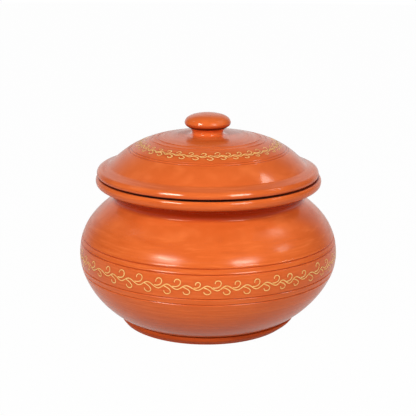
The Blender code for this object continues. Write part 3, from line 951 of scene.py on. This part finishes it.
def clay(name, colors, roughness, streaks=1.0, spread=0.07, specular=0.2):
    """Fired red clay: cloudy colour, marks that run with the wheel, specks, stains and painted shade, and a
    satin or matt surface.
    """
    middle, dark, light = colors
    nodes = Nodes(bpy.data.materials.new(name))
    place, drawn = wheel_vectors(nodes)
    clouds = nodes.noise(place, CLOUDS, 4.0, 0.55)
    patches = nodes.noise(place, PATCHES, 3.0, 0.6)
    specks = nodes.noise(place, SPECKS, 2.0, 0.7)
    bands = nodes.noise(drawn, BANDS, 3.0, 0.6)
    fine = nodes.noise(drawn, FINE, 2.0, 0.6)
    shade_and_stain, polish = (nodes.add("Attribute", {"attribute_name": kind}).outputs["Fac"]
                     for kind in ("shade_and_stain", "polish"))
    color = nodes.blend(nodes.span(clouds, 0.32, 0.68, 0.3, 1.0), dark, middle)
    color = nodes.blend(nodes.span(bands, 0.50, 0.80, 0.0, 0.55), color, light)
    color = nodes.blend(nodes.span(fine, 0.52, 0.72, 0.0, 0.8 * streaks), color, dark)
    color = nodes.blend(nodes.span(fine, 0.48, 0.28, 0.0, 0.8 * streaks), color, light)
    color = nodes.blend(nodes.span(patches, 0.50, 0.80, 0.0, 0.4), color, dark)
    color = nodes.blend(nodes.span(specks, 0.66, 0.76, 0.0, 0.35), color, SPECK_COLOR)
    # Painted shade and stain: the first attribute takes the clay towards dark red up to 1, and towards near
    # black from 1 to 2
    color = nodes.blend(nodes.span(shade_and_stain, 0.0, 1.0, 0.0, 0.82), color, SHADE_AND_STAIN_COLOR)
    color = nodes.blend(nodes.span(shade_and_stain, 1.0, 2.0, 0.0, 1.0), color, DEEP_SHADE_COLOR)

    rough = nodes.span(bands, 0.3, 0.7, roughness - spread, roughness + spread)
    rough = nodes.math("ADD", rough, nodes.span(fine, 0.3, 0.7, -0.05 * streaks, 0.05 * streaks))
    rough = nodes.math("ADD", rough, nodes.span(specks, 0.3, 0.7, -0.03, 0.04))
    rough = nodes.math("ADD", rough, nodes.span(shade_and_stain, 1.0, 2.0, 0.0, 0.6), clamp=True)
    rough = nodes.span(polish, 0.0, 1.0, rough, POLISHED)

    height = nodes.math("MULTIPLY", bands, 0.8 * streaks)
    height = nodes.math("ADD", height, nodes.math("MULTIPLY", fine, 0.22 * streaks))
    height = nodes.math("ADD", height, nodes.math("MULTIPLY", specks, 0.05))
    strength = nodes.span(polish, 0.0, 1.0, 0.35, 0.06)
    nodes.skin(color, rough, strength, height, specular)
    return nodes.owner


def slip():
    """Cream slip rubbed into the carving: matt, slightly uneven and stained by the clay."""
    nodes = Nodes(bpy.data.materials.new("scroll_slip"))
    place = nodes.add("TexCoord").outputs["Object"]
    patches = nodes.noise(place, SLIP_PATCHES, 3.0, 0.6)
    grains = nodes.noise(place, SLIP_GRAINS, 2.0, 0.7)
    color = nodes.blend(nodes.span(patches, 0.36, 0.68, 0.0, 1.0), *SLIP_COLORS)
    color = nodes.blend(nodes.span(grains, 0.58, 0.75, 0.0, 0.5), color, RUBBED_COLOR)
    rough = nodes.span(grains, 0.3, 0.7, 0.75, 0.95)
    nodes.skin(color, rough, 0.4, grains)
    return nodes.owner


def dress(piece, body, slot, *nodes):
    """Hangs a piece on its body, in place of its solids."""
    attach(piece, body)
    if nodes:
        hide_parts(*nodes)


def all_round(front, repeats, reach, chance):
    """The front's curls, and evenly spaced ones for the rest of the way round."""
    first, last = front[0][0], front[-1][0]
    side = (360 - (last - first)) / 2
    count = round((repeats - len(front)) / 2)
    step = side / (count + 0.5)
    curls = list(front)
    for i in range(1, count + 1):
        for place in (first - i * step, last + i * step):
            angle = place + chance.uniform(-0.06, 0.06) * step
            curls.append((angle, reach * chance.uniform(0.9, 1.1), reach * chance.uniform(0.85, 1.05)))
    return sorted(curls)


def scroll(front, repeats, reach, wave, radius, seed):
    """The strokes of a running scroll, all the way round a band of that radius."""
    chance = random.Random(seed)
    curls = all_round(front, repeats, reach, chance)
    return vine([(radians(a) * radius / MM, up, down) for a, up, down in curls], wave, chance)


def carved_sheet(turned, strokes, place, radius, shade_and_stain):
    """A turned surface with a scroll carved between its second and third lines, and the carved band."""
    start, end = turned.lines[1] + BAND_MARGIN, turned.lines[2] - BAND_MARGIN
    sheet = Sheet()
    _, top_row = lathe(sheet, turned, 0.0, start, SEGMENTS)
    bottom_row, _ = lathe(sheet, turned, end, turned.length, SEGMENTS)
    shift = ((start + end) / 2 - place) / MM
    strokes = [([(x, y + shift) for x, y in path], half) for path, half in strokes]
    return sheet, carve(sheet, turned, strokes, start, end, (top_row, bottom_row), radius, shade_and_stain)


def make_vessel(material, cream):
    turned = Turned(vessel_outline(), 1, WOBBLE, bowl_aside, mouth_tipped)
    throat = turned.find(NECK_HEIGHT, 1)
    turned.lines = [turned.find(height, 1, throat) for height in BELLY_LINES]
    turned.rings = (RINGS_ON_FLOOR * FOOT_RADIUS, throat)
    rim = turned.find(RIM_RADIUS - EMBED, 0, throat)
    seat_edge = turned.find(FLANGE_RADIUS, 0, throat)
    neck = turned.find(NECK_HEIGHT, 1, rim)
    low_bowl = turned.find(36 * MM, 1, rim)
    turned.shades_and_stains = [
        # painted shade: a near-black ring on the rim where the lid's edge lies, in place of the gap's shadow
        Stretch(seat_edge - GAP_SHADE_WIDTH, seat_edge - GAP_SHADE_INSET, GAP_SHADE, GAP_SHADE_EDGE, GAP_SHADE_FADE),
        # painted shade: the cove under the rim, down to the neck, darkened as in the rim's shadow
        Stretch(rim + RIM_DEPTH, neck + 2 * MM, amount=1.0, edge=3.5 * MM),
        Stretch(rim, neck, amount=0.14, edge=1.5 * MM),
        Stretch(turned.lines[1], turned.lines[2], amount=0.08, edge=3 * MM),
        # painted shade: the clay darker towards the bottom of the bowl
        Stretch(low_bowl, turned.length, amount=0.26, edge=28 * MM),
    ]
    turned.polished = [
        Stretch(seat_edge, rim + POLISH_EDGE),
        Stretch(neck - 0.7 * MM, neck + 6.5 * MM, amount=0.6),
    ]
    strokes = scroll(BELLY_CURLS, repeats=44, reach=7.2, wave=1.65, radius=BELLY_RADIUS, seed=5)
    place = turned.find(BELLY_SCROLL_HEIGHT, 1, throat)
    sheet, band = carved_sheet(turned, strokes, place, BELLY_RADIUS, shade_and_stain=0.2)
    dress(sheet.make("vessel", material), "pot", "vessel_clay", "pot_body")
    dress(slip_filling("belly_scroll", turned, band, cream), "pot", "scroll_slip")


def make_lid(material, cream):
    turned = Turned(lid_outline(), 2, LID_WOBBLE, lid_aside, wholly)
    edge = turned.find(FLANGE_RADIUS - EMBED, 0)
    turned.lines = [turned.find(radius, 0, 0.0, edge) for radius in LID_LINES]
    turned.line_depth = LID_LINE_DEPTH
    turned.rings = (turned.length - LID_RINGS[0], turned.length - LID_RINGS[1])
    sole = turned.find(FLANGE_RADIUS - FLANGE_UNDER_WIDTH, 0, edge)
    crease = turned.find(FLANGE_RADIUS - SHELF_WIDTH, 0, 0.0, edge)
    turned.shades_and_stains = [
        # painted shade: the near-black ring under the lid's edge where it lies on the rim
        Stretch(sole - GAP_SHADE_RISE, sole + GAP_SHADE_WIDTH, GAP_SHADE, GAP_SHADE_EDGE, GAP_SHADE_FADE),
        # painted shade: the underside of the flange, darker around its sole
        Stretch(sole - 3.6 * MM, sole + 5 * MM, amount=0.4, edge=2 * MM),
    ]
    turned.polished = [
        Stretch(edge - 5 * MM, edge + POLISH_EDGE),
        Stretch(crease - 20 * MM, crease + 4 * MM, amount=0.25),
    ]
    strokes = scroll(LID_CURLS, repeats=36, reach=5.6, wave=1.25, radius=LID_BAND_RADIUS, seed=9)
    place = turned.find(LID_SCROLL_RADIUS, 0, 0.0, edge)
    sheet, band = carved_sheet(turned, strokes, place, LID_BAND_RADIUS, shade_and_stain=0.45)
    dress(sheet.make("lid", material), "lid", "lid_clay", "lid_shell")
    dress(slip_filling("lid_scroll", turned, band, cream), "lid", "scroll_slip")


def make_plain(name, turned, segments, material, body, slot, node, ring=False):
    sheet = Sheet()
    lathe(sheet, turned, 0.0, turned.length, segments, ring)
    dress(sheet.make(name, material), body, slot, node)


def make_knob(material):
    turned = Turned(knob_outline(), 3, LID_WOBBLE, knob_aside, wholly)
    widest = turned.find(CAP_RADIUS - EMBED, 0)
    under = turned.find(CAP_RADIUS - CAP_TURN, 0, widest + MM)
    turned.shades_and_stains = [
        # painted shadow: near black under the cap where it meets the stem, and painted shade on the cap's
        # lower side
        Stretch(under - 2.394 * MM, under + 2.646 * MM, amount=1.75, edge=1.2 * MM),
        Stretch(widest + 0.3 * MM, under + 0.3 * MM, amount=0.55, edge=1.2 * MM),
    ]
    turned.polished = [
        Stretch(8 * MM, under, side=POLISHED_SIDE),
        Stretch(under, turned.length - STEM_RADIUS),
    ]
    make_plain("knob", turned, KNOB_SEGMENTS, material, "lid", "knob_clay", "lid_knob")


def make_foot(material):
    turned = Turned(foot_outline(), 4, LID_WOBBLE, foot_aside, not_at_all)
    make_plain("foot", turned, SEGMENTS, material, "pot", "foot_clay", "foot_ring", True)


def make_locating_ring(material):
    turned = Turned(locating_outline(), 6, LID_WOBBLE, lid_aside, wholly)
    make_plain("locating_ring", turned, SEGMENTS, material, "lid", "ring_clay", "lid_locating_ring", True)


def make_floor():
    """A pale floor that the camera and reflections see as white, with the pot's soft shadow."""
    nodes = Nodes(bpy.data.materials.new("floor"))
    pale = (FLOOR_CLAY, FLOOR_CLAY, FLOOR_CLAY, 1.0)
    nodes.feed(nodes.shader, {"Base Color": pale, "Roughness": 0.9, "Specular IOR Level": 0.1})
    path = nodes.add("LightPath").outputs
    glow = nodes.add("Emission", Color=WHITE, Strength=1.0)
    seen = nodes.math("MAXIMUM", nodes.math("MULTIPLY", path["Is Camera Ray"], FLOOR_SEEN),
                      nodes.math("MULTIPLY", path["Is Glossy Ray"], FLOOR_SHINE))
    mixed = nodes.add("MixShader")
    nodes.feed(mixed, {0: seen, 1: nodes.shader.outputs[0], 2: glow.outputs[0]})
    nodes.feed(nodes.tree.nodes["Material Output"], {"Surface": mixed.outputs[0]})
    bpy.ops.mesh.primitive_circle_add(vertices=96, radius=FLOOR_RADIUS, fill_type="NGON")
    floor = bpy.context.object
    floor.name = "floor"
    floor.data.materials.append(nodes.owner)


def make_world():
    """White to the camera and in grazing reflections, as of a backdrop behind the pot, and dim elsewhere."""
    world = bpy.data.worlds.new("studio")
    bpy.context.scene.world = world
    nodes = Nodes(world)
    path = nodes.add("LightPath").outputs
    way = nodes.add("TexCoord").outputs["Generated"]
    parts = nodes.add("SeparateXYZ", Vector=way).outputs
    low = nodes.span(parts["Z"], *BACKDROP_EDGE, BACKDROP_SHINE, STUDIO_SHINE, "SMOOTHSTEP")
    mirrored = nodes.span(parts["Y"], *BACKDROP_EDGE, STUDIO_SHINE, low, "SMOOTHSTEP")
    unseen = nodes.span(path["Is Glossy Ray"], 0.0, 1.0, STUDIO_LIGHT, mirrored)
    strength = nodes.span(path["Is Camera Ray"], 0.0, 1.0, unseen, 1.0)
    nodes.feed(nodes.tree.nodes["Background"], {"Color": WHITE, "Strength": strength})


def make_lamp(name, azimuth, elevation, width, height, power):
    lamp = bpy.data.lights.new(name, "AREA")
    lamp.shape = "RECTANGLE"
    lamp.size = width
    lamp.size_y = height
    lamp.energy = power
    lamp.color = LAMP_COLOR
    turn = Matrix.Rotation(radians(azimuth), 4, "Z") @ Matrix.Rotation(radians(90 - elevation), 4, "X")
    middle = Matrix.Translation((0.0, 0.0, POT_MIDDLE))
    add_object(name, lamp).matrix_world = middle @ turn @ Matrix.Translation((0.0, 0.0, LAMP_DISTANCE))


def make_camera():
    camera = bpy.data.cameras.new("camera")
    camera.sensor_width = SENSOR_WIDTH
    camera.lens = LENS
    camera.clip_start = 0.01
    piece = add_object("camera", camera)
    tilt = Matrix.Rotation(radians(90) - CAMERA_FALL, 4, "X") @ Matrix.Rotation(CAMERA_ROLL, 4, "Z")
    piece.matrix_world = Matrix.Translation(CAMERA_PLACE) @ tilt
    bpy.context.scene.camera = piece


def main():
    cream = slip()
    make_vessel(clay("vessel_clay", VESSEL_COLORS, 0.21, streaks=1.1, spread=0.09), cream)
    make_lid(clay("lid_clay", LID_COLORS, 0.22, streaks=1.1, spread=0.08), cream)
    make_knob(clay("knob_clay", KNOB_COLORS, 0.24, streaks=0.6))
    make_foot(clay("foot_clay", FOOT_COLORS, 0.55, specular=0.12))
    make_locating_ring(clay("ring_clay", RING_COLORS, 0.62))
    make_floor()
    make_world()
    for name, lamp in LAMPS.items():
        make_lamp(name, *lamp)
    make_camera()
    bpy.context.scene.view_settings.view_transform = "Standard"


main()
